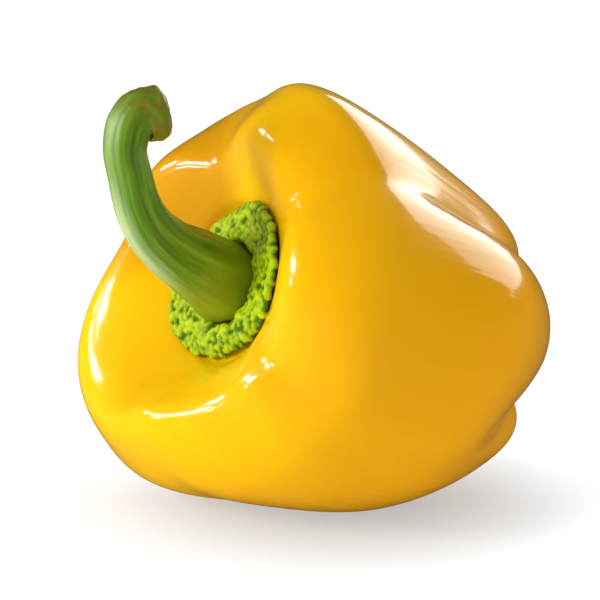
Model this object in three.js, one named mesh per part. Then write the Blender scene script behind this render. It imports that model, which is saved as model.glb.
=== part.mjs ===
// A yellow bell pepper lying on its side: the fruit, the calyx round the foot of the stem, and
// the stem. Millimetres, +Z up, the flattened belly that the fruit rests on at z = 0.
import * as THREE from 'three';

// The fruit is shaped in a frame of its own. Its axis is z, from the blossom end at 0 to the
// calyx, and angles go round the axis in degrees: 0 faces the front and 90 faces the sky.
const SEAT_HEIGHT = 70.5;       // floor of the hollow that the calyx grows in
const SEAT_RADIUS = 14.5;
const SEAT_FOOT = [19, 74.3];  // radius and height where the hollow's wall has left its floor
const DIMPLE_DEPTH = 9;        // hollow in the middle of the blossom end
const TIP_SHOULDER = [3, 8];   // the tip of a lobe rounds off by this much outwards and upwards
const WAIST_SHARE = 0.55;      // height of the waist as a share of the shoulder's height
const BROW_SWELL = 0.14;       // bulge between shoulder and crown, as a share of their distance
const AXIS_CLIMB = 19.5;       // the axis climbs toward the stem by this many degrees
const FLAT_DEPTH = 0.9;        // what the resting patch takes off the roundness of the belly

// Lobes and the creases between them, in turn round the axis. Shoulder and crown are a radius
// and a height, the waist is a radius, and the tip is a radius and a height at the blossom end.
const RIDGES = [
  { name: 'front lobe', angle: 14, shoulder: [46, 57], crown: [31, 81], waist: 48, tip: [27, 1] },
  { name: 'crease', angle: 49, shoulder: [40, 57], crown: [28, 75], waist: 34, tip: [26, 8],
    fold: 0.25 },
  { name: 'top lobe', angle: 80, shoulder: [45, 66], crown: [32, 81], waist: 38.5, tip: [25, 1] },
  { name: 'crease', angle: 111, shoulder: [44, 62], crown: [26, 77.5], waist: 36, tip: [18, 7] },
  { name: 'back lobe', angle: 148, shoulder: [43, 63], crown: [31, 82], waist: 40, tip: [24, 6] },
  { name: 'crease', angle: 173, shoulder: [40, 58], crown: [29, 82], waist: 38, tip: [20, 7] },
  { name: 'low lobe', angle: 227, shoulder: [53, 61.5], crown: [37, 84.5], waist: 43, tip: [30, 3] },
  { name: 'crease', angle: 273, shoulder: [44, 57], crown: [31, 86.5], waist: 40, tip: [24, 4] },
  { name: 'front lobe, lower half', angle: 320, shoulder: [44.5, 59], crown: [30, 79.5],
    waist: 43, tip: [25, -2] },
  { name: 'notch', angle: 336, shoulder: [46, 58], crown: [30, 77], waist: 44.5, tip: [23, 3] },
];
// How gently each part of the profile turns over a crease: 0 is a sharp fold. A crease with a
// fold of its own is that share as soft.
const SOFTNESS = { shoulder: 0.55, crown: 0.35, waist: 0.9, tip: 0.45 };

const FRUIT_SIDES = 96;        // facets round the fruit
const STEPS_PER_SPAN = 4;      // facets between two points of the profile

const GAP = 0.7;               // clearance between neighbouring pieces; facets take up some of it

// The stem: points of its middle line in the fruit's frame, and radii at distances along it.
const STEM_PATH = [
  [0, 0, SEAT_HEIGHT + GAP], [0, 0, 72.6], [1, 1.1, 78], [3.4, 3.8, 91], [4.3, 8.5, 100.5],
  [3.6, 15.5, 105.6], [1.8, 22, 107.8], [1.2, 27.8, 106.6], [2.4, 30.3, 102.4],
];
const STEM_RADII = [
  [0, 7.1], [1.6, 7.8], [6, 7.9], [10.4, 7.4], [15, 6.7], [20, 6], [27.5, 5.1], [34.5, 4.5],
  [42.5, 4.3], [48.5, 4.5], [52, 5], [54.5, 5.1],
];
const STEM_RIBS = 5;
const STEM_RIB_DEPTH = 0.05;   // share of the radius
const STEM_RINGS = 34;
const STEM_SIDES = 20;
const STEM_END_DOME = 2.6;     // how far the dried cut end bulges

// The calyx: a lumpy green ring on the floor of the hollow, open in the middle for the stem.
const CALYX_CENTRE = [0.7, 0.7];
const CALYX_INNER = 9.1;
const CALYX_OUTER = 17.2;
const CALYX_THICKNESS = 3.1;
const CALYX_LUMPS = 11;
const CALYX_LUMP_HEIGHT = 0.4;
const CALYX_REACH = 1.8;       // how much further the ring spreads on its wide sides
const CALYX_SIDES = 66;

const rad = THREE.MathUtils.degToRad;

// Share of the lobe's own value at a place between a crease (0) and the middle of a lobe (1).
function swell(share, softness) {
  const rise = (x) => Math.hypot(x, softness) - softness;
  return rise(Math.sin(share * Math.PI / 2)) / rise(1);
}

// Lobe and crease on either side of an angle, and how far from the crease the angle is.
function neighbours(angle) {
  const first = RIDGES[0].angle;
  const turned = first + THREE.MathUtils.euclideanModulo(angle - first, 360);
  let i = RIDGES.length - 1;
  while (RIDGES[i].angle > turned) i -= 1;
  const next = RIDGES[(i + 1) % RIDGES.length];
  const end = i + 1 < RIDGES.length ? next.angle : first + 360;
  const way = (turned - RIDGES[i].angle) / (end - RIDGES[i].angle);
  return i % 2 === 0
    ? { lobe: RIDGES[i], crease: next, share: 1 - way }
    : { lobe: next, crease: RIDGES[i], share: way };
}

// Outline of the fruit at one angle, from the dimple of the blossom end to the calyx's floor.
function profile(angle) {
  const { lobe, crease, share } = neighbours(angle);
  const fold = crease.fold ?? 1;
  const blend = (from, to, softness) => (
    THREE.MathUtils.lerp(from, to, swell(share, softness * fold)));
  const pair = (key) => [0, 1].map((k) => blend(crease[key][k], lobe[key][k], SOFTNESS[key]));
  const [tipRadius, tipHeight] = pair('tip');
  const [shoulderRadius, shoulderHeight] = pair('shoulder');
  const [crownRadius, crownHeight] = pair('crown');
  const waistRadius = blend(crease.waist, lobe.waist, SOFTNESS.waist);
  const points = [
    [0, DIMPLE_DEPTH],
    [tipRadius / 2, tipHeight],
    [tipRadius + TIP_SHOULDER[0], tipHeight + TIP_SHOULDER[1]],
    [waistRadius, WAIST_SHARE * shoulderHeight],
    [shoulderRadius, shoulderHeight],
    [(shoulderRadius + crownRadius) / 2 + BROW_SWELL * (crownHeight - shoulderHeight),
      (shoulderHeight + crownHeight) / 2 + BROW_SWELL * (shoulderRadius - crownRadius)],
    [crownRadius, crownHeight],
    SEAT_FOOT,
    [SEAT_RADIUS, SEAT_HEIGHT],
    [0, SEAT_HEIGHT],
  ];
  // Mirrored neighbours beyond the axis keep the curve level where it meets the axis.
  const before = [-points[1][0], points[1][1]];
  const after = [-points.at(-2)[0], points.at(-2)[1]];
  const curve = new THREE.SplineCurve(
    [before, ...points, after].map(([r, z]) => new THREE.Vector2(r, z)));
  const spans = points.length - 1;
  const samples = [];
  for (let i = 0; i <= spans * STEPS_PER_SPAN; i += 1) {
    samples.push(curve.getPoint((1 + i / STEPS_PER_SPAN) / (spans + 2)));
  }
  return samples;
}

// Moves a point from the fruit's frame to the way the pepper lies on the ground.
function lay(x, y, z) {
  const climb = rad(AXIS_CLIMB);
  return new THREE.Vector3(
    y * Math.sin(climb) - z * Math.cos(climb), -x, y * Math.cos(climb) + z * Math.sin(climb));
}

// A closed body from rings of points: each ring joins the next, and the ends close on a point.
function skinOf(rings, firstPole, lastPole) {
  const sides = rings[0].length;
  const points = [firstPole, ...rings.flat(), lastPole];
  const at = (ring, side) => 1 + ring * sides + (side % sides);
  const last = points.length - 1;
  const faces = [];
  for (let side = 0; side < sides; side += 1) {
    faces.push(0, at(0, side + 1), at(0, side));
    for (let ring = 0; ring < rings.length - 1; ring += 1) {
      const [a, b] = [at(ring, side), at(ring, side + 1)];
      const [c, d] = [at(ring + 1, side + 1), at(ring + 1, side)];
      faces.push(a, b, c, a, c, d);
    }
    faces.push(at(rings.length - 1, side), at(rings.length - 1, side + 1), last);
  }
  return bodyOf(points, faces);
}

// A closed body without ends: each section joins the next one, and the last joins the first.
function loopOf(sections) {
  const size = sections[0].length;
  const points = sections.flat();
  const at = (section, i) => (section % sections.length) * size + (i % size);
  const faces = [];
  for (let s = 0; s < sections.length; s += 1) {
    for (let i = 0; i < size; i += 1) {
      const [a, b] = [at(s, i), at(s + 1, i)];
      const [c, d] = [at(s + 1, i + 1), at(s, i + 1)];
      faces.push(a, c, b, a, d, c);
    }
  }
  return bodyOf(points, faces);
}

function bodyOf(points, faces) {
  const geometry = new THREE.BufferGeometry().setFromPoints(points);
  geometry.setIndex(faces);
  geometry.computeVertexNormals();
  return geometry;
}

// The fruit: profiles side by side round the axis, with the belly pressed flat on the ground.
function fruitGeometry(ground) {
  const angles = Array.from({ length: FRUIT_SIDES }, (_, i) => 360 * i / FRUIT_SIDES);
  const profiles = angles.map(profile);
  const place = (angle, point) => {
    const [x, y] = [point.x * Math.cos(rad(angle)), point.x * Math.sin(rad(angle))];
    const laid = lay(x, y, point.y);
    laid.z = Math.max(laid.z, ground);
    return laid;
  };
  const rings = [];
  for (let i = 1; i < profiles[0].length - 1; i += 1) {
    rings.push(angles.map((angle, k) => place(angle, profiles[k][i])));
  }
  return skinOf(rings, place(0, profiles[0][0]), place(0, profiles[0].at(-1)));
}

// Height of the hollow's floor and wall at a place under the calyx.
function floorHeight(x, y) {
  const radius = Math.hypot(x, y);
  const line = profile(THREE.MathUtils.radToDeg(Math.atan2(y, x)));
  let i = line.length - 1;
  while (line[i - 1].x < radius) i -= 1;
  const way = (radius - line[i].x) / (line[i - 1].x - line[i].x);
  return THREE.MathUtils.lerp(line[i].y, line[i - 1].y, way);
}

// The calyx: one cross-section turned round the stem, its underside following the hollow.
function calyxGeometry() {
  const sections = [];
  for (let k = 0; k < CALYX_SIDES; k += 1) {
    const turn = 2 * Math.PI * k / CALYX_SIDES;
    const outer = CALYX_OUTER + CALYX_REACH * Math.cos(2 * turn - rad(70));
    const lump = CALYX_LUMP_HEIGHT * Math.cos(CALYX_LUMPS * turn);
    const place = (across, height) => {
      const radius = THREE.MathUtils.lerp(CALYX_INNER, outer, across);
      const x = CALYX_CENTRE[0] * across + radius * Math.cos(turn);
      const y = CALYX_CENTRE[1] * across + radius * Math.sin(turn);
      return lay(x, y, floorHeight(x, y) + GAP + height);
    };
    const top = CALYX_THICKNESS + lump;
    sections.push([
      place(0, 0), place(0, 0.7 * top), place(0.15, top), place(0.4, 1.05 * top),
      place(0.7, 0.85 * top), place(0.92, 0.5 * top), place(1, 0.15 * top),
      place(0.95, 0), place(0.65, 0), place(0.3, 0),
    ]);
  }
  return loopOf(sections);
}

// Radius of the stem at a distance along its middle line.
function stemRadius(distance) {
  let i = 1;
  while (i < STEM_RADII.length - 1 && STEM_RADII[i][0] < distance) i += 1;
  const [[from, a], [to, b]] = [STEM_RADII[i - 1], STEM_RADII[i]];
  return THREE.MathUtils.mapLinear(Math.min(distance, to), from, to, a, b);
}

// The stem: a ribbed section carried along the hooked middle line, with a rounded cut end.
function stemGeometry() {
  const curve = new THREE.CatmullRomCurve3(STEM_PATH.map((p) => new THREE.Vector3(...p)));
  const length = curve.getLength();
  const frames = curve.computeFrenetFrames(STEM_RINGS, false);
  const rings = [];
  for (let i = 0; i <= STEM_RINGS; i += 1) {
    const centre = curve.getPointAt(i / STEM_RINGS);
    const radius = stemRadius(length * i / STEM_RINGS);
    const ring = [];
    for (let side = 0; side < STEM_SIDES; side += 1) {
      const turn = 2 * Math.PI * side / STEM_SIDES;
      const reach = radius * (1 + STEM_RIB_DEPTH * Math.cos(STEM_RIBS * turn));
      const point = centre.clone()
        .addScaledVector(frames.normals[i], reach * Math.cos(turn))
        .addScaledVector(frames.binormals[i], reach * Math.sin(turn));
      ring.push(lay(point.x, point.y, point.z));
    }
    rings.push(ring);
  }
  const foot = curve.getPointAt(0);
  const end = curve.getPointAt(1).addScaledVector(frames.tangents[STEM_RINGS], STEM_END_DOME);
  return skinOf(rings, lay(foot.x, foot.y, foot.z), lay(end.x, end.y, end.z));
}

function node(name, geometry, color, roughness) {
  const material = new THREE.MeshStandardMaterial({ color, roughness, metalness: 0 });
  const mesh = new THREE.Mesh(geometry, material);
  mesh.name = name;
  return mesh;
}

// Height of the lowest point of the unflattened belly.
const rounded = fruitGeometry(-Infinity);
rounded.computeBoundingBox();
const ground = rounded.boundingBox.min.z + FLAT_DEPTH;

const pepper = new THREE.Group();
pepper.name = 'bell_pepper';
pepper.add(node('fruit', fruitGeometry(ground), 0xfcc800, 0.25));
pepper.add(node('calyx', calyxGeometry(), 0x8fae24, 0.6));
pepper.add(node('stem', stemGeometry(), 0x83a00f, 0.5));

// The resting patch goes to z = 0, and the middle of the whole pepper over the origin.
const box = new THREE.Box3().setFromObject(pepper);
const middle = box.getCenter(new THREE.Vector3());
for (const mesh of pepper.children) mesh.position.set(-middle.x, -middle.y, -ground);

export default pepper;
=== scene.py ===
# %% [markdown]
# # A yellow bell pepper
# The pepper lies on its side with its stem end turned to the left and toward the viewer. Three
# pieces grew together on it: the fruit, the calyx round the foot of the stem, and the stem.
# The CAD model gives their places and sizes. This file gives them their fine shape and finish.

# %% Load the frame
import math
import random

import bpy
from mathutils import Matrix, Vector, geometry, noise
from mathutils.bvhtree import BVHTree


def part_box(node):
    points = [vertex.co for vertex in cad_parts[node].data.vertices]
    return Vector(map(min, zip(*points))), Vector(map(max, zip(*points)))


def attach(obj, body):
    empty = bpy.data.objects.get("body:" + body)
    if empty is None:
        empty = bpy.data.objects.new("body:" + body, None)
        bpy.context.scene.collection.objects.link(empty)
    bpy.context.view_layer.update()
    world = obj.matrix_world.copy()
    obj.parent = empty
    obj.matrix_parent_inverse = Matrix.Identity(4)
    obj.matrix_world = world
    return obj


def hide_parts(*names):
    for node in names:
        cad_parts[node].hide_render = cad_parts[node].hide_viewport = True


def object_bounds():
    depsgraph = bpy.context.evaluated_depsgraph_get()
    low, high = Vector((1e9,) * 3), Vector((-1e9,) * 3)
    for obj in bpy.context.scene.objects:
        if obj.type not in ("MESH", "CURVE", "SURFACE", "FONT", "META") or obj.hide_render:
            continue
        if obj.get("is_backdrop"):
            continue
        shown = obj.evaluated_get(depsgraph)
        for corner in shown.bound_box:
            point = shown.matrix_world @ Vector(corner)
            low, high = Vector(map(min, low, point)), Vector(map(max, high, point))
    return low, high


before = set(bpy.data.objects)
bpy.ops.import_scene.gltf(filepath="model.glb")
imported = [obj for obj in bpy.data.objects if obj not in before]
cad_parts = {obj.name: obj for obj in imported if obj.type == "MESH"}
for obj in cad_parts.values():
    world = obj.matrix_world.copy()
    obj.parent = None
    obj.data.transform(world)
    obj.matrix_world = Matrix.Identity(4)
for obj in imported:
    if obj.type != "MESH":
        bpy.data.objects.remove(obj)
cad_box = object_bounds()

MM = 0.001
print("nodes from the CAD:", sorted(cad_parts))

# %% [markdown]
# ## The way the fruit grew
# Everything on a pepper follows its axis: the lobes run along it, the skin's faint ripples run
# along it, and the stem carries it on. The axis starts here at the middle of the stem's foot.
# Any point can then be told by how far it is along the axis and at which angle round it.

# %% Lay down the axis
AXIS_CLIMB = math.radians(19.5)
AXIS = Vector((-math.cos(AXIS_CLIMB), 0, math.sin(AXIS_CLIMB)))
FRONT = Vector((0, -1, 0))
SKY = Vector((math.sin(AXIS_CLIMB), 0, math.cos(AXIS_CLIMB)))
FOOT = Vector((-19.62, 1.83, 50.14)) * MM


def from_foot(front, sky, along):
    """A place given in millimetres from the stem's foot, in the fruit's own directions."""
    return FOOT + (FRONT * front + SKY * sky + AXIS * along) * MM


low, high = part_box("stem")
print("CAD stem, in mm:", [round(c / MM, 1) for c in (*low, *high)])

# %% [markdown]
# ## Helpers for working by hand
# Blender's operators act on whatever is selected, so each step first selects one piece only.
# A modifier is applied as soon as it is set, which turns its result into plain mesh.

# %% Helpers for selecting and for modifiers


def select_only(piece):
    bpy.ops.object.select_all(action="DESELECT")
    piece.select_set(True)
    bpy.context.view_layer.objects.active = piece


def apply_modifier(piece, kind, **settings):
    modifier = piece.modifiers.new(kind.title(), kind)
    for name, value in settings.items():
        setattr(modifier, name, value)
    select_only(piece)
    bpy.ops.object.modifier_apply(modifier=modifier.name)


def smooth_shade(piece):
    select_only(piece)
    bpy.ops.object.shade_smooth()


# %% [markdown]
# ## The fruit
# The CAD fruit is a cage of flat facets. Its copy is merged, its triangles are paired back into
# the quads they were cut from, and a subdivision surface rounds the cage into smooth lobes.
# The lobes could be modelled again by hand, but this way they keep the CAD's exact size.

# %% Round the fruit's cage
MERGE_DISTANCE = 0.01 * MM
FRUIT_LEVELS = 2


def quads_of(node, name):
    """A copy of a CAD node as one clean mesh of quads."""
    piece = bpy.data.objects.new(name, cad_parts[node].data.copy())
    bpy.context.scene.collection.objects.link(piece)
    select_only(piece)
    bpy.ops.object.mode_set(mode="EDIT")
    bpy.ops.mesh.select_all(action="SELECT")
    bpy.ops.mesh.remove_doubles(threshold=MERGE_DISTANCE)
    bpy.ops.mesh.tris_convert_to_quads(face_threshold=math.pi, shape_threshold=math.pi)
    bpy.ops.object.mode_set(mode="OBJECT")
    piece.data.materials.clear()
    return piece


fruit = quads_of("fruit", "pepper_fruit")
apply_modifier(fruit, "SUBSURF", levels=FRUIT_LEVELS, render_levels=FRUIT_LEVELS)
smooth_shade(fruit)
print("fruit faces:", len(fruit.data.polygons))

# %% [markdown]
# A real skin is never quite even. Broad soft dents break up the roundness, and faint ripples run
# along the lobes, which is what frays the edge of a big reflection. Both are pushed into the
# mesh along its normals, and they fade out at the flat belly so that it still lies level.

# %% Push the skin's unevenness into the mesh
DENT_DEPTH = 0.35 * MM
DENT_SIZE = 22 * MM
RIPPLE_DEPTH = 0.05 * MM
RIPPLES_ROUND = 9
RIPPLE_STRETCH = 55 * MM
BELLY_FADE = 3 * MM


def growth_place(point):
    """Cosine and sine of the angle round the axis, and the distance along it in metres."""
    out = point - FOOT
    angle = math.atan2(out.dot(SKY), out.dot(FRONT))
    return Vector((math.cos(angle), math.sin(angle), out.dot(AXIS)))


def lengthwise_noise(place, times_round, stretch):
    """Noise that changes quickly round a piece and slowly along it."""
    return noise.noise(Vector((place.x * times_round, place.y * times_round, place.z / stretch)))


def share_between(value, start, blend):
    return min(max((value - start) / blend, 0), 1)


def dent_fruit(piece):
    normals = [v.normal.copy() for v in piece.data.vertices]
    for vertex, normal in zip(piece.data.vertices, normals):
        dent = DENT_DEPTH * noise.noise(vertex.co / DENT_SIZE)
        place = growth_place(vertex.co)
        fold = RIPPLE_DEPTH * lengthwise_noise(place, RIPPLES_ROUND, RIPPLE_STRETCH)
        vertex.co += normal * (dent + fold) * share_between(vertex.co.z, 0, BELLY_FADE)


dent_fruit(fruit)
print("fruit's lowest point, in mm:", round(min(v.co.z for v in fruit.data.vertices) / MM, 2))

# %% [markdown]
# The finish has to follow the growth too, so each point of the mesh keeps its place round and
# along the axis as an attribute. A material can read it, and it moves with the piece.

# %% Keep the growth on the mesh


def store_place(piece, name, measure):
    """Keeps a place worked out for each point on the mesh, for the materials to read."""
    layer = piece.data.attributes.new(name, "FLOAT_VECTOR", "POINT")
    for vertex in piece.data.vertices:
        layer.data[vertex.index].vector = measure(vertex.co)


store_place(fruit, "growth", growth_place)
print("fruit attributes:", [a.name for a in fruit.data.attributes if not a.is_internal])

# %% [markdown]
# ## The calyx
# The calyx is the green remains of the flower, a ring of soft, crowded, wart-like grains round
# the stem's foot. It could be a displaced ring, but a displaced surface never undercuts. So one
# small grain is modelled and copied over a smooth ring, at random places that don't lie on the
# fruit. Near the axis the grains also cover the wall that faces the stem.

# %% Pick places for the grains
SEED_GRAINS = 7
LOOSE_FACING = 0.1
WELL_FACING = -0.4
WELL_RADIUS = 10 * MM


def is_open(face):
    """Whether a face looks away from the fruit far enough to carry grains."""
    in_well = AXIS.cross(face.center - FOOT).length < WELL_RADIUS
    return face.normal.dot(AXIS) > (WELL_FACING if in_well else LOOSE_FACING)


def open_places(piece, count, chance):
    """Random places on the open faces, each with the direction that the face looks in."""
    faces = [f for f in piece.data.polygons if is_open(f)]
    areas = [f.area for f in faces]
    places = []
    for face in chance.choices(faces, weights=areas, k=count):
        corners = [piece.data.vertices[i].co for i in face.vertices]
        shares = [chance.random() for _ in corners]
        middle = sum((c * s for c, s in zip(corners, shares)), Vector()) / sum(shares)
        places.append((middle, face.normal.copy()))
    return places


ring = quads_of("calyx", "pepper_calyx")
apply_modifier(ring, "SUBSURF", levels=1, render_levels=1)
ring_shape = BVHTree.FromObject(ring, bpy.context.evaluated_depsgraph_get())
print("ring faces that can carry grains:", sum(is_open(f) for f in ring.data.polygons))

# %% [markdown]
# Each copy of the grain gets its own size, a little stretch and a turn, and sinks into the ring.
# The ring and its grains are then joined, and a voxel remesh fuses them into one closed skin.
# A light smoothing takes away the steps that the voxels leave.

# %% Scatter grains over the calyx
GRAINS = 1250
GRAIN_RADIUS = (0.4 * MM, 0.9 * MM)
GRAIN_SINK = 0.2
GRAIN_STRETCH = 1.5
GRAIN_SUBDIVISIONS = 2
RING_VOXEL = 0.21 * MM
SMOOTH_SHARE = 0.5
SMOOTH_PASSES = 2


def scatter_grains(piece, chance):
    bpy.ops.mesh.primitive_ico_sphere_add(subdivisions=GRAIN_SUBDIVISIONS, radius=1)
    grain = bpy.context.object
    copies = []
    for place, facing in open_places(piece, GRAINS, chance):
        radius = chance.uniform(*GRAIN_RADIUS)
        copy = bpy.data.objects.new("grain", grain.data.copy())
        bpy.context.scene.collection.objects.link(copy)
        spin = Matrix.Rotation(chance.uniform(0, math.pi), 3, "Z")
        turn = facing.to_track_quat("Z", "Y").to_matrix() @ spin
        size = Matrix.Diagonal((radius * chance.uniform(1, GRAIN_STRETCH), radius, radius))
        copy.data.transform(Matrix.Translation(place - facing * radius * GRAIN_SINK)
                            @ (turn @ size).to_4x4())
        copies.append(copy)
    bpy.data.objects.remove(grain)
    select_only(piece)
    for copy in copies:
        copy.select_set(True)
    bpy.ops.object.join()


scatter_grains(ring, random.Random(SEED_GRAINS))
apply_modifier(ring, "REMESH", mode="VOXEL", voxel_size=RING_VOXEL)
apply_modifier(ring, "SMOOTH", factor=SMOOTH_SHARE, iterations=SMOOTH_PASSES)
smooth_shade(ring)
print("calyx faces:", len(ring.data.polygons))

# %% [markdown]
# The tops of the grains get a painted highlight and the gaps between them a painted shade. So
# each point keeps its height over the smooth ring, for the material to read.

# %% Measure the height of the grains


def store_number(piece, name, measure):
    """Keeps one number for each point on the mesh, for the materials to read."""
    layer = piece.data.attributes.new(name, "FLOAT", "POINT")
    for vertex in piece.data.vertices:
        layer.data[vertex.index].value = measure(vertex.co)


def grain_height(point):
    """Height of a point over the smooth ring, in millimetres."""
    near, facing, _, _ = ring_shape.find_nearest(point)
    return (point - near).dot(facing) / MM


store_number(ring, "grain", grain_height)
heights = [entry.value for entry in ring.data.attributes["grain"].data]
print("tallest grain, in mm:", round(max(heights), 2))

# %% [markdown]
# ## The stem
# The stem is a fleshy stalk with shallow ribs. It flares where it meets the fruit and ends in a
# thickened head where it was cut. A curve through its middle line with a ribbed outline swept
# along it makes the stalk in one go, and keeps the ribs running true round the bend.

# %% Draw the stem's outline and its middle line
# Each row is a place from the foot (front, sky, along) and a radius, all in millimetres.
STEM_ROWS = [
    ((0, 0, 0), 8.0), ((0, 0, 1.6), 8.6), ((0.9, 1.0, 6.4), 7.9), ((2.3, 2.5, 13.5), 6.9),
    ((3.4, 3.8, 19.8), 6.0), ((4.3, 8.5, 29.3), 5.0), ((3.6, 15.5, 34.4), 4.45),
    ((1.8, 22, 36.6), 4.5), ((1.4, 27.3, 35.2), 5.2), ((2.6, 29.3, 31.6), 5.7),
]
RIBS = 5
RIB_DEPTH = 0.05
OUTLINE_POINTS = 60
RINGS_PER_SPAN = 7


def closed_outline():
    """The stem's cross-section, one metre in radius, with its shallow ribs."""
    data = bpy.data.curves.new("outline", "CURVE")
    spline = data.splines.new("POLY")
    spline.points.add(OUTLINE_POINTS - 1)
    for i, point in enumerate(spline.points):
        angle = math.tau * i / OUTLINE_POINTS
        radius = 1 + RIB_DEPTH * math.cos(RIBS * angle)
        point.co = (radius * math.cos(angle), radius * math.sin(angle), 0, 1)
    spline.use_cyclic_u = True
    outline = bpy.data.objects.new("outline", data)
    bpy.context.scene.collection.objects.link(outline)
    return outline


def stem_curve(outline):
    """The middle line, with the outline swept along it and a radius at each of its points."""
    data = bpy.data.curves.new("stem", "CURVE")
    data.dimensions = "3D"
    data.bevel_mode = "OBJECT"
    data.bevel_object = outline
    data.resolution_u = RINGS_PER_SPAN
    spline = data.splines.new("BEZIER")
    spline.radius_interpolation = "CARDINAL"
    spline.bezier_points.add(len(STEM_ROWS) - 1)
    for point, (place, radius) in zip(spline.bezier_points, STEM_ROWS):
        point.co = from_foot(*place)
        point.radius = radius * MM
        point.handle_left_type = point.handle_right_type = "AUTO"
    curve = bpy.data.objects.new("pepper_stem", data)
    bpy.context.scene.collection.objects.link(curve)
    bpy.context.view_layer.update()
    return curve


outline = closed_outline()
stem = stem_curve(outline)
print("points on the middle line:", len(stem.data.splines[0].bezier_points))

# %% [markdown]
# The curve is then converted to a mesh. Its middle line is kept as a row of points, because
# every later step on the stem is told by the distance along that line.

# %% Sweep the stem


def middle_line(curve):
    """Points along the middle of the stem, from the foot to the head."""
    line = []
    points = curve.data.splines[0].bezier_points
    for start, end in zip(points[:-1], points[1:]):
        line += geometry.interpolate_bezier(start.co, start.handle_right, end.handle_left,
                                            end.co, RINGS_PER_SPAN + 1)[:-1]
    return line + [points[-1].co.copy()]


STEM_LINE = middle_line(stem)
select_only(stem)
bpy.ops.object.convert(target="MESH")
bpy.data.objects.remove(outline)
print("stem rings:", len(STEM_LINE), "points:", len(stem.data.vertices))

# %% [markdown]
# The sweep is an open tube. Each open rim is extruded a few times, a little smaller each time,
# and its last ring is merged to a point: the foot turns under, and the head gets a blunt dome.

# %% Close the stem's two ends
# Each step is the share of the ring's width that stays, and how far it moves out in millimetres.
FOOT_STEPS = [(0.9, -0.15), (0.6, -0.05), (0.3, 0)]
HEAD_STEPS = [(0.97, 0.7), (0.86, 0.8), (0.66, 0.5), (0.4, 0.1), (0.2, -0.1)]
RIM_REACH = 11 * MM


def select_rim(piece, centre):
    """Selects the edges of the open rim nearest to a place, and stays in edit mode."""
    select_only(piece)
    bpy.ops.object.mode_set(mode="EDIT")
    bpy.ops.mesh.select_mode(type="VERT")
    bpy.ops.mesh.select_all(action="DESELECT")
    bpy.ops.mesh.select_non_manifold(extend=False, use_boundary=True)
    bpy.ops.object.mode_set(mode="OBJECT")
    points = piece.data.vertices
    for point in points:
        point.select = point.select and (point.co - centre).length < RIM_REACH
    for edge in piece.data.edges:
        edge.select = edge.select and all(points[i].select for i in edge.vertices)
    bpy.ops.object.mode_set(mode="EDIT")
    bpy.ops.mesh.select_mode(type="EDGE")


def close_rim(piece, centre, outward, steps):
    select_rim(piece, centre)
    for share, push in steps:
        bpy.ops.mesh.extrude_region_move()
        bpy.ops.transform.translate(value=outward * push * MM)
        bpy.ops.transform.resize(value=(share, share, share))
    bpy.ops.mesh.merge(type="CENTER")
    bpy.ops.object.mode_set(mode="OBJECT")


def face_outwards(piece):
    select_only(piece)
    bpy.ops.object.mode_set(mode="EDIT")
    bpy.ops.mesh.select_all(action="SELECT")
    bpy.ops.mesh.remove_doubles(threshold=MERGE_DISTANCE)
    bpy.ops.mesh.normals_make_consistent(inside=False)
    bpy.ops.object.mode_set(mode="OBJECT")


head_way = (STEM_LINE[-1] - STEM_LINE[-2]).normalized()
close_rim(stem, STEM_LINE[0], -AXIS, FOOT_STEPS)
close_rim(stem, STEM_LINE[-1], head_way, HEAD_STEPS)
face_outwards(stem)
print("points of the closed stem:", len(stem.data.vertices))

# %% [markdown]
# Up close the stalk has fine lengthwise fibres, and the head is dry and knobbly. So each point
# gets its place on the stem, as the angle round the middle line and the distance along it, and
# noise read at that place pushes the surface in and out.

# %% Roughen the stem
FIBRE_DEPTH = 0.12 * MM
FIBRES_ROUND = 3.5
FIBRE_STRETCH = 14 * MM
KNOB_DEPTH = 0.4 * MM
KNOB_SIZE = 1.6 * MM
HEAD_START = 49 * MM
HEAD_BLEND = 5 * MM

line_steps = [(b - a).length for a, b in zip(STEM_LINE[:-1], STEM_LINE[1:])]
LINE_LENGTHS = [sum(line_steps[:i]) for i in range(len(STEM_LINE))]


def stem_place(point):
    """Cosine and sine of the angle round the middle line, and the distance along it."""
    nearest = min(range(len(STEM_LINE)), key=lambda i: (STEM_LINE[i] - point).length_squared)
    before, after = max(nearest - 1, 0), min(nearest + 1, len(STEM_LINE) - 1)
    forward = (STEM_LINE[after] - STEM_LINE[before]).normalized()
    out = point - STEM_LINE[nearest]
    level = FRONT - forward * FRONT.dot(forward)
    angle = math.atan2(out.dot(forward.cross(level)), out.dot(level))
    return Vector((math.cos(angle), math.sin(angle), LINE_LENGTHS[nearest] + out.dot(forward)))


def roughen_stem(piece):
    moved = []
    for vertex in piece.data.vertices:
        place = stem_place(vertex.co)
        fibre = lengthwise_noise(place, FIBRES_ROUND, FIBRE_STRETCH)
        knob = noise.noise(vertex.co / KNOB_SIZE) * share_between(place.z, HEAD_START, HEAD_BLEND)
        moved.append(vertex.co + vertex.normal * (fibre * FIBRE_DEPTH + knob * KNOB_DEPTH))
    for vertex, co in zip(piece.data.vertices, moved):
        vertex.co = co


apply_modifier(stem, "SUBSURF", levels=1, render_levels=1)
store_place(stem, "stem_place", stem_place)
roughen_stem(stem)
smooth_shade(stem)
print("stem faces:", len(stem.data.polygons), "length in mm:", round(LINE_LENGTHS[-1] / MM, 1))

# %% [markdown]
# ## Finishes
# Every colour here is mixed in the shader from noise, so no part is one flat colour. Places on
# the pieces come from their own attributes, which follow the growth and not the picture.
# The first helpers start a material, read a place, and make noise at that place.

# %% Helpers for places and noise
PLAIN_DETAIL = 2


def new_material(name):
    material = bpy.data.materials.new(name)
    material.use_nodes = True
    return material, material.node_tree, material.node_tree.nodes["Principled BSDF"]


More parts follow.
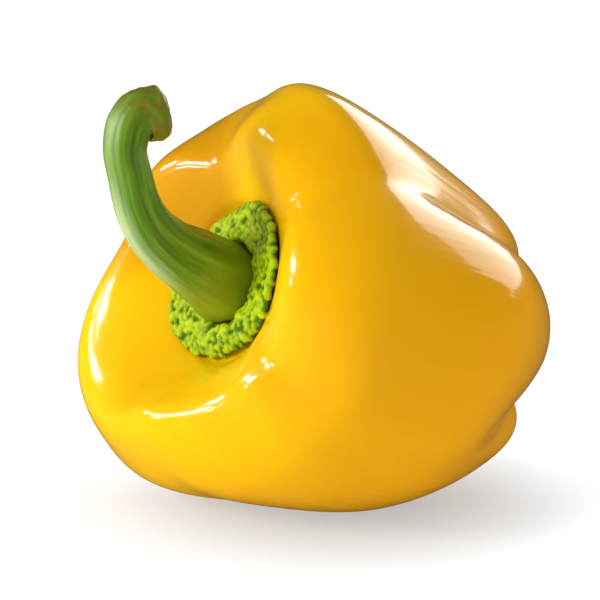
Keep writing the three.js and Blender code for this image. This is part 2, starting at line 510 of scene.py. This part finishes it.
def set_shader(shader, values):
    """Sets the shader's own sockets, named as Blender names them."""
    for socket, value in values.items():
        shader.inputs[socket].default_value = value


def attribute_place(tree, name, stretch=(1, 1, 1)):
    """A vector attribute of the mesh, scaled so that noise can run long in one direction."""
    attribute = tree.nodes.new("ShaderNodeAttribute")
    attribute.attribute_name = name
    scaled = tree.nodes.new("ShaderNodeVectorMath")
    scaled.operation = "MULTIPLY"
    scaled.inputs[1].default_value = stretch
    tree.links.new(attribute.outputs["Vector"], scaled.inputs[0])
    return scaled.outputs["Vector"]


def object_place(tree):
    return tree.nodes.new("ShaderNodeTexCoord").outputs["Object"]


def noise_value(tree, place, scale=1, detail=PLAIN_DETAIL):
    pattern = tree.nodes.new("ShaderNodeTexNoise")
    pattern.inputs["Scale"].default_value = scale
    pattern.inputs["Detail"].default_value = detail
    tree.links.new(place, pattern.inputs["Vector"])
    return pattern.outputs["Fac"]


# %% [markdown]
# Noise is only a grey number from 0 to 1. A colour ramp turns it into colours, a mix lays one
# colour over another, and a share that grows in one direction says where the mix takes place.

# %% Helpers for colours
RAMP_MIDDLE = 0.5


def colour_ramp(tree, value, stops):
    """Colours at positions from 0 to 1, as linear red, green and blue."""
    ramp = tree.nodes.new("ShaderNodeValToRGB")
    elements = ramp.color_ramp.elements
    while len(elements) < len(stops):
        elements.new(RAMP_MIDDLE)
    for element, (position, colour) in zip(elements, stops):
        element.position = position
        element.color = (*colour, 1)
    tree.links.new(value, ramp.inputs["Fac"])
    return ramp.outputs["Color"]


def link_or_set(tree, value, socket):
    if isinstance(value, bpy.types.NodeSocket):
        tree.links.new(value, socket)
    elif isinstance(value, tuple):
        socket.default_value = (*value, 1)
    else:
        socket.default_value = value


def mix_colours(tree, share, first, second, blend="MIX"):
    mix = tree.nodes.new("ShaderNodeMix")
    mix.data_type = "RGBA"
    mix.blend_type = blend
    sockets = {socket.identifier: socket for socket in (*mix.inputs, *mix.outputs)}
    for value, name in ((share, "Factor_Float"), (first, "A_Color"), (second, "B_Color")):
        link_or_set(tree, value, sockets[name])
    return sockets["Result_Color"]


def share_toward(tree, place, way, start, end):
    """Runs from 0 to 1 as a place goes one way, for mixing two colours or strengths."""
    along = tree.nodes.new("ShaderNodeVectorMath")
    along.operation = "DOT_PRODUCT"
    along.inputs[1].default_value = way
    tree.links.new(place, along.inputs[0])
    share = tree.nodes.new("ShaderNodeMapRange")
    share.inputs["From Min"].default_value = start
    share.inputs["From Max"].default_value = end
    tree.links.new(along.outputs["Value"], share.inputs["Value"])
    return share.outputs["Result"]


# %% [markdown]
# Detail too fine to model is left to bump, which only tilts the light. Each bump node stands on
# the one before it. The last one goes to both the surface and its clear coat, because the coat
# is what shines, and a smooth coat would hide every ripple.

# %% Helper for bump


def add_bump(tree, shader, height, distance, below=None):
    bump = tree.nodes.new("ShaderNodeBump")
    bump.inputs["Distance"].default_value = distance
    tree.links.new(height, bump.inputs["Height"])
    if below:
        tree.links.new(below, bump.inputs["Normal"])
    tree.links.new(bump.outputs["Normal"], shader.inputs["Normal"])
    tree.links.new(bump.outputs["Normal"], shader.inputs["Coat Normal"])
    return bump.outputs["Normal"]


# %% [markdown]
# ### The skin
# The skin is a waxy coat over soft, slightly see-through flesh, so the shader has a yellow base
# with some light scattered under it and a clear coat on top. Flat yellow would look like plastic:
# the colour drifts in patches from lemon to gold. Painted shade deepens it to gold on the front
# and toward the blossom end, away from the lamps on the left, and a painted stem shadow dulls
# the crown behind the stem.

# %% Mix the skin's yellow
LEMON = (0.97, 0.58, 0.001)
YELLOW = (0.95, 0.53, 0.001)
GOLDEN = (0.93, 0.48, 0.001)
PATCH_STOPS = [(0.3, GOLDEN), (0.5, YELLOW), (0.72, LEMON)]
PATCH_SCALE = 34
# painted shade: a deeper gold on the front and toward the blossom end, away from the lamps on the
# left
PAINTED_SIDE_SHADE = (0.9, 0.405, 0.001)
SIDE_SHADE_WAY = (0.5, 0.15, -10)
SIDE_SHADE_START, SIDE_SHADE_END = 0, 0.9
# painted shade where the stem's shadow falls on the crown behind it
PAINTED_STEM_SHADOW = (0.66, 0.305, 0.001)
STEM_SHADOW_WAY = (-0.75, 0.66, 20)
STEM_SHADOW_START, STEM_SHADOW_END = 0.75, 1


def skin_colour(tree):
    patches = noise_value(tree, object_place(tree), PATCH_SCALE)
    colour = colour_ramp(tree, patches, PATCH_STOPS)
    growth = attribute_place(tree, "growth")
    # painted shade on the side away from the lamps on the left
    side_shade = share_toward(tree, growth, SIDE_SHADE_WAY, SIDE_SHADE_START, SIDE_SHADE_END)
    colour = mix_colours(tree, side_shade, colour, PAINTED_SIDE_SHADE)
    # painted stem shadow on the crown behind the stem
    stem_shadow = share_toward(tree, growth, STEM_SHADOW_WAY, STEM_SHADOW_START, STEM_SHADOW_END)
    return mix_colours(tree, stem_shadow, colour, PAINTED_STEM_SHADOW)


print("patches of yellow, in mm:", round(1 / PATCH_SCALE / MM))

# %% [markdown]
# Coarse and fine ripples in the bump fray the edges of the reflections along the lobes. They
# fade in outside the hollow, because the skin in the hollow is drawn smooth. Tiny pores in a
# third bump cover all of it and break up the smallest glints.

# %% The skin
RIPPLE_STRETCHES = (9, 9, 18)
FINE_RIPPLE_STRETCHES = (20, 20, 26)
FINE_DETAIL = 3
RIPPLE_BUMP = 0.2 * MM
FINE_RIPPLE_BUMP = 0.15 * MM
TO_BLOSSOM = (0, 0, -1)
RIPPLES_BEGIN, RIPPLES_FULL = -2 * MM, 22 * MM
LEVEL = (0.5, 0.5, 0.5)
PORE_SCALE = 900
PORE_DETAIL = 1
PORE_BUMP = 0.006 * MM
SKIN_SHADER = {
    "Roughness": 0.3,
    "Specular IOR Level": 0.05,
    "Coat Weight": 0.75,
    "Coat Roughness": 0.1,
    "Coat IOR": 1.4,
    "Subsurface Weight": 0.35,
    "Subsurface Radius": (1, 0.5, 0.05),
    "Subsurface Scale": 4 * MM,
}


def skin_material():
    material, tree, shader = new_material("pepper_skin")
    tree.links.new(skin_colour(tree), shader.inputs["Base Color"])
    ripples = noise_value(tree, attribute_place(tree, "growth", RIPPLE_STRETCHES))
    fine_place = attribute_place(tree, "growth", FINE_RIPPLE_STRETCHES)
    fine = noise_value(tree, fine_place, detail=FINE_DETAIL)
    outside = share_toward(tree, attribute_place(tree, "growth"), TO_BLOSSOM,
                           RIPPLES_BEGIN, RIPPLES_FULL)
    normal = add_bump(tree, shader, mix_colours(tree, outside, LEVEL, ripples), RIPPLE_BUMP)
    normal = add_bump(tree, shader, mix_colours(tree, outside, LEVEL, fine),
                      FINE_RIPPLE_BUMP, normal)
    pores = noise_value(tree, object_place(tree), PORE_SCALE, PORE_DETAIL)
    add_bump(tree, shader, pores, PORE_BUMP, normal)
    set_shader(shader, SKIN_SHADER)
    return material


skin = skin_material()
print("skin nodes:", len(skin.node_tree.nodes))

# %% [markdown]
# ### The calyx
# The grains are matt and juicy. Their colour follows the height that was kept on the mesh, from
# painted shade in the gaps to painted light on yellowish tops, and a soft-light mix with noise
# makes some patches lighter.

# %% The calyx's green
# painted shade for the gaps between grains and painted highlight for their tops; the pale colour
# also tints random patches
GRAIN_GAP_SHADE = (0.07, 0.16, 0.0005)
GRAIN_GREEN = (0.3, 0.41, 0.001)
GRAIN_PALE_AND_TOP_LIGHT = (0.66, 0.7, 0.02)
GRAIN_SHADE_STOPS = [(0.1, GRAIN_GAP_SHADE), (0.4, GRAIN_GREEN), (0.85, GRAIN_PALE_AND_TOP_LIGHT)]
GRAIN_TINT_STOPS = [(0.35, GRAIN_GREEN), (0.65, GRAIN_PALE_AND_TOP_LIGHT)]
GRAIN_TINT_SCALE = 420
GRAIN_TINT = 0.55
GRAIN_BUMP_SCALE = 2600
GRAIN_BUMP = 0.08 * MM
CALYX_SHADER = {
    "Roughness": 0.55,
    "Specular IOR Level": 0.12,
    "Subsurface Weight": 0.2,
    "Subsurface Radius": (0.5, 1, 0.2),
    "Subsurface Scale": 0.8 * MM,
}


def calyx_material():
    material, tree, shader = new_material("calyx_green")
    grain = tree.nodes.new("ShaderNodeAttribute")
    grain.attribute_name = "grain"
    # painted shade in the gaps and painted highlight on the tops, by the grain's height
    painted_grain_light = colour_ramp(tree, grain.outputs["Fac"], GRAIN_SHADE_STOPS)
    tint = noise_value(tree, object_place(tree), GRAIN_TINT_SCALE)
    by_tint = colour_ramp(tree, tint, GRAIN_TINT_STOPS)
    colour = mix_colours(tree, GRAIN_TINT, painted_grain_light, by_tint, "SOFT_LIGHT")
    tree.links.new(colour, shader.inputs["Base Color"])
    bumps = noise_value(tree, object_place(tree), GRAIN_BUMP_SCALE)
    add_bump(tree, shader, bumps, GRAIN_BUMP)
    set_shader(shader, CALYX_SHADER)
    return material


calyx = calyx_material()
print("calyx nodes:", len(calyx.node_tree.nodes))

# %% [markdown]
# ### The stem
# The shank has soft stripes between its ribs, long in the stem's direction and narrow round it,
# broken up by finer ones. In the middle of its length a painted sheen lightens the side that
# faces left, toward the lamps, broken up by the stripes. Toward the foot the stripes fade into an
# olive green.

# %% Mix the shank's green
STEM_DARK = (0.03, 0.09, 0.001)
STEM_GREEN = (0.11, 0.24, 0.002)
STEM_PALE = (0.26, 0.4, 0.03)
STRIPE_STOPS = [(0.36, STEM_DARK), (0.5, STEM_GREEN), (0.66, STEM_PALE)]
STRIPE_STRETCHES = (3.2, 3.2, 55)
# painted sheen on the shank's side that faces the lamps on the left
PAINTED_SHEEN = (0.56, 0.64, 0.34)
SHEEN_WAY = (-0.6, -0.8, 0)
SHEEN_START, SHEEN_END = 0.1, 0.8
SHEEN_STRIPES = 0.7
SHEEN_ALONG_STOPS = [(0.3, (0.15,) * 3), (0.46, (1,) * 3), (0.64, (1,) * 3), (0.85, (0.2,) * 3)]
ALONG = (0, 0, 1)
STEM_FOOT = (0.2, 0.27, 0.002)
FLARE_ENDS = (7 * MM, 17 * MM)


def shank_colour(tree, place, fine):
    stripes = noise_value(tree, attribute_place(tree, "stem_place", STRIPE_STRETCHES))
    shank = colour_ramp(tree, stripes, STRIPE_STOPS)
    shank = mix_colours(tree, fine, shank, STEM_GREEN)
    # painted sheen: lighter on the left side, in the middle of the length, broken by the stripes
    sheen = share_toward(tree, place, SHEEN_WAY, SHEEN_START, SHEEN_END)
    length = share_toward(tree, place, ALONG, 0, HEAD_START)
    sheen_along = colour_ramp(tree, length, SHEEN_ALONG_STOPS)
    sheen = mix_colours(tree, 1, sheen, sheen_along, "MULTIPLY")
    sheen = mix_colours(tree, SHEEN_STRIPES, sheen, stripes, "MULTIPLY")
    shank = mix_colours(tree, sheen, shank, PAINTED_SHEEN)
    flare = share_toward(tree, place, ALONG, *FLARE_ENDS)
    return mix_colours(tree, flare, STEM_FOOT, shank)


print("stripes begin this far from the foot, in mm:", [round(end / MM) for end in FLARE_ENDS])

# %% [markdown]
# The head is where the stem was cut, and it has begun to dry: green with brown spots. It takes
# over from the shank where the stem thickens, at the same place as the knobs in the mesh.

# %% The stem
FINE_STRIPE_STRETCHES = (16, 16, 90)
STRIPE_BUMP = 0.1 * MM
HEAD_GREEN = (0.12, 0.22, 0.002)
HEAD_BROWN = (0.2, 0.15, 0.008)
HEAD_STOPS = [(0.4, HEAD_BROWN), (0.6, HEAD_GREEN)]
HEAD_SPOT_SCALE = 420
STEM_SHADER = {
    "Roughness": 0.42,
    "Specular IOR Level": 0.3,
    "Subsurface Weight": 0.15,
    "Subsurface Radius": (0.5, 1, 0.2),
    "Subsurface Scale": 1 * MM,
}


def stem_material():
    material, tree, shader = new_material("stem_green")
    place = attribute_place(tree, "stem_place")
    fine_place = attribute_place(tree, "stem_place", FINE_STRIPE_STRETCHES)
    fine = noise_value(tree, fine_place, detail=FINE_DETAIL)
    head = share_toward(tree, place, ALONG, HEAD_START, HEAD_START + HEAD_BLEND)
    spots = noise_value(tree, object_place(tree), HEAD_SPOT_SCALE)
    dry = colour_ramp(tree, spots, HEAD_STOPS)
    colour = mix_colours(tree, head, shank_colour(tree, place, fine), dry)
    tree.links.new(colour, shader.inputs["Base Color"])
    add_bump(tree, shader, fine, STRIPE_BUMP)
    set_shader(shader, STEM_SHADER)
    return material


stalk = stem_material()
print("stem nodes:", len(stalk.node_tree.nodes))

# %% [markdown]
# ### Finish the pieces
# Each piece gets its material and is hung from an empty for the root, and the CAD node that it
# stands for is hidden. Nothing moves on a pepper, so all three ride on the root.

# %% Give each piece its finish and hang it from the root


def finish_piece(piece, node, material):
    piece.data.materials.clear()
    piece.data.materials.append(material)
    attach(piece, "root")
    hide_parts(node)


finish_piece(fruit, "fruit", skin)
finish_piece(ring, "calyx", calyx)
finish_piece(stem, "stem", stalk)
print("finished:", [piece.name for piece in (fruit, ring, stem)])

# %% [markdown]
# ## The studio
# The photograph is a product shot on white paper. The paper lights the pepper from below, and
# more from the lit side on the left. It has to look white and show a neutral grey shadow, while
# a plain white floor would show a yellow one, from light that the fruit throws on it. So what
# the camera sees of the floor is mostly its own glow, dimmed near the fruit by the openness of
# the ground there, and reflections see little of it, which keeps the yellow deep.

# %% Helper for values that differ by ray


def switch_value(tree, switch, off, on):
    """Goes from one number to another as a switch goes from 0 to 1."""
    chosen = tree.nodes.new("ShaderNodeMapRange")
    for value, socket in ((off, "To Min"), (on, "To Max")):
        link_or_set(tree, value, chosen.inputs[socket])
    tree.links.new(switch, chosen.inputs["Value"])
    return chosen.outputs["Result"]


def multiply(tree, first, second):
    product = tree.nodes.new("ShaderNodeMath")
    product.operation = "MULTIPLY"
    tree.links.new(first, product.inputs[0])
    tree.links.new(second, product.inputs[1])
    return product.outputs["Value"]


# %% [markdown]
# The shadow comes from ambient occlusion, which measures how open the ground is. It looks up and
# toward the lit side on the left, so the shadow falls more to the right, away from that side.

# %% The floor
FLOOR_SIZE = 6
FLOOR_GREY = 0.8
FLOOR_GLOW = 0.3
LIT_GLOW = 1.7
LIT_WAY = (-0.83, 0.56, 0)
LIT_REACH = 0.3
FLOOR_SEEN_GREY = 0.2
FLOOR_SEEN_GLOW = 0.9
FLOOR_IN_GLOSS = 0.06
SHADE_GREY = (0.44, 0.44, 0.44)
WHITE = (1, 1, 1)
SHADE_REACH = 26 * MM
SHADE_LEAN = (-0.5, 0.35, 0.8)
FLOOR_SHADER = {"Roughness": 0.9, "Specular IOR Level": 0}


def shade_on_floor(tree):
    """White out in the open and grey close to the fruit."""
    openness = tree.nodes.new("ShaderNodeAmbientOcclusion")
    openness.inputs["Distance"].default_value = SHADE_REACH
    lean = tree.nodes.new("ShaderNodeCombineXYZ")
    for axis, value in zip("XYZ", SHADE_LEAN):
        lean.inputs[axis].default_value = value
    tree.links.new(lean.outputs["Vector"], openness.inputs["Normal"])
    return colour_ramp(tree, openness.outputs["AO"], [(0, SHADE_GREY), (1, WHITE)])


def floor_material():
    material, tree, shader = new_material("floor_paper")
    path = tree.nodes.new("ShaderNodeLightPath")
    lit = share_toward(tree, object_place(tree), LIT_WAY, 0, LIT_REACH)
    glow = switch_value(tree, lit, FLOOR_GLOW, LIT_GLOW)
    kept = switch_value(tree, path.outputs["Is Glossy Ray"], 1, FLOOR_IN_GLOSS)
    for socket, usual, in_view in (("Base Color", FLOOR_GREY, FLOOR_SEEN_GREY),
                                   ("Emission Strength", glow, FLOOR_SEEN_GLOW)):
        value = switch_value(tree, path.outputs["Is Camera Ray"], usual, in_view)
        tree.links.new(multiply(tree, value, kept), shader.inputs[socket])
    tree.links.new(shade_on_floor(tree), shader.inputs["Emission Color"])
    set_shader(shader, FLOOR_SHADER)
    return material


bpy.ops.mesh.primitive_plane_add(size=FLOOR_SIZE)
floor = bpy.context.object
floor.name = "floor"
floor.data.materials.append(floor_material())
floor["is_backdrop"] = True
print("floor, in metres:", FLOOR_SIZE)

# %% [markdown]
# The world is even white light from all round. It fills the shadows, and most of it is kept out
# of the reflections, so that a glint shows only where a lamp stands. The Standard view keeps
# white paper white and the yellow as strong as it was mixed.

# %% The light from all round
WORLD_STRENGTH = 0.53
WORLD_IN_GLOSS = 0.03


def soft_world():
    world = bpy.data.worlds.new("studio")
    world.use_nodes = True
    tree = world.node_tree
    gloss = tree.nodes.new("ShaderNodeLightPath").outputs["Is Glossy Ray"]
    strength = switch_value(tree, gloss, WORLD_STRENGTH, WORLD_IN_GLOSS)
    background = tree.nodes["Background"]
    link_or_set(tree, WHITE, background.inputs["Color"])
    tree.links.new(strength, background.inputs["Strength"])
    return world


bpy.context.scene.world = soft_world()
bpy.context.scene.view_settings.view_transform = "Standard"
print("strength of the light from all round:", WORLD_STRENGTH)

# %% [markdown]
# The camera looks at the pepper from a little above and from the front left, through a long
# lens. A product shot is taken from far enough away that the near lobes don't swell.

# %% The camera
VIEW_AZIMUTH = math.radians(-34.2)
VIEW_ELEVATION = math.radians(12)
VIEW_DISTANCE = 0.65
VIEW_TARGET = Vector((-9.32, -7.21, 47.28)) * MM
SENSOR_WIDTH = 36
LENS = 187.2

view_back = Vector((math.sin(VIEW_AZIMUTH) * math.cos(VIEW_ELEVATION),
                    -math.cos(VIEW_AZIMUTH) * math.cos(VIEW_ELEVATION),
                    math.sin(VIEW_ELEVATION)))
view_right = Vector((math.cos(VIEW_AZIMUTH), math.sin(VIEW_AZIMUTH), 0))
view_up = view_back.cross(view_right)


def add_camera():
    data = bpy.data.cameras.new("camera")
    data.sensor_width = SENSOR_WIDTH
    data.lens = LENS
    camera = bpy.data.objects.new("camera", data)
    camera.location = VIEW_TARGET + view_back * VIEW_DISTANCE
    camera.rotation_euler = view_back.to_track_quat("Z", "Y").to_euler()
    bpy.context.scene.collection.objects.link(camera)
    return camera


bpy.context.scene.camera = add_camera()
print("camera at", [round(c, 3) for c in bpy.context.scene.camera.location])

# %% [markdown]
# A shiny fruit needs two kinds of lamp. Some only light the surface: a small softbox on the left
# and the window behind on the right. Others only show as reflections: a strip and two spots on
# the left leave the small glints on the lobes, and the window lies as one long streaked patch
# over the right shoulder. Kept apart, the light and the glints can each be set by themselves.

# %% The lights
# Each light stands in a direction seen from the camera (right, up, back), in metres from the
# pepper, with its width, height and power in watts. The last word says whether it lights the
# surface or shows as a reflection.
WINDOW_PLACE = (0.58, 0.50, -0.36)
WINDOW_SIZE = (1.05, 0.44)
LIGHTS = {
    "left_softbox": ((-0.80, 0.24, 0.36), (0.22, 0.22), 5.2, "light"),
    "left_strip": ((-0.66, 0.30, 0.22), (0.20, 0.13), 3.0, "shine"),
    "left_low_spot": ((-0.66, 0.12, 0.22), (0.10, 0.05), 0.7, "shine"),
    "left_spot": ((-0.65, 0.34, -0.04), (0.15, 0.15), 1.8, "shine"),
    "window": (WINDOW_PLACE, WINDOW_SIZE, 8.4, "shine"),
    "window_light": (WINDOW_PLACE, WINDOW_SIZE, 2.9, "light"),
}


def add_lamp(name, direction, size, watts, use):
    right, up, back = direction
    way = view_right * right + view_up * up + view_back * back
    data = bpy.data.lights.new(name, "AREA")
    data.shape = "RECTANGLE"
    data.size, data.size_y = size
    data.energy = watts
    lamp = bpy.data.objects.new(name, data)
    lamp.location = VIEW_TARGET + way
    lamp.rotation_euler = way.to_track_quat("Z", "Y").to_euler()
    lamp.visible_glossy = use == "shine"
    lamp.visible_diffuse = use == "light"
    bpy.context.scene.collection.objects.link(lamp)


for name, settings in LIGHTS.items():
    add_lamp(name, *settings)
print("lights:", list(LIGHTS))

# %% [markdown]
# ## Measure and finish
# The CAD's box was kept at the start. The finished pepper is measured the same way, and both are
# printed.

# %% Measure and finish
visual_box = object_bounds()
sizes = {"cad": [list(c) for c in cad_box], "visual": [list(c) for c in visual_box]}
for name, (low, high) in sizes.items():
    print(name, "from", [round(c / MM, 1) for c in low], "to", [round(c / MM, 1) for c in high])
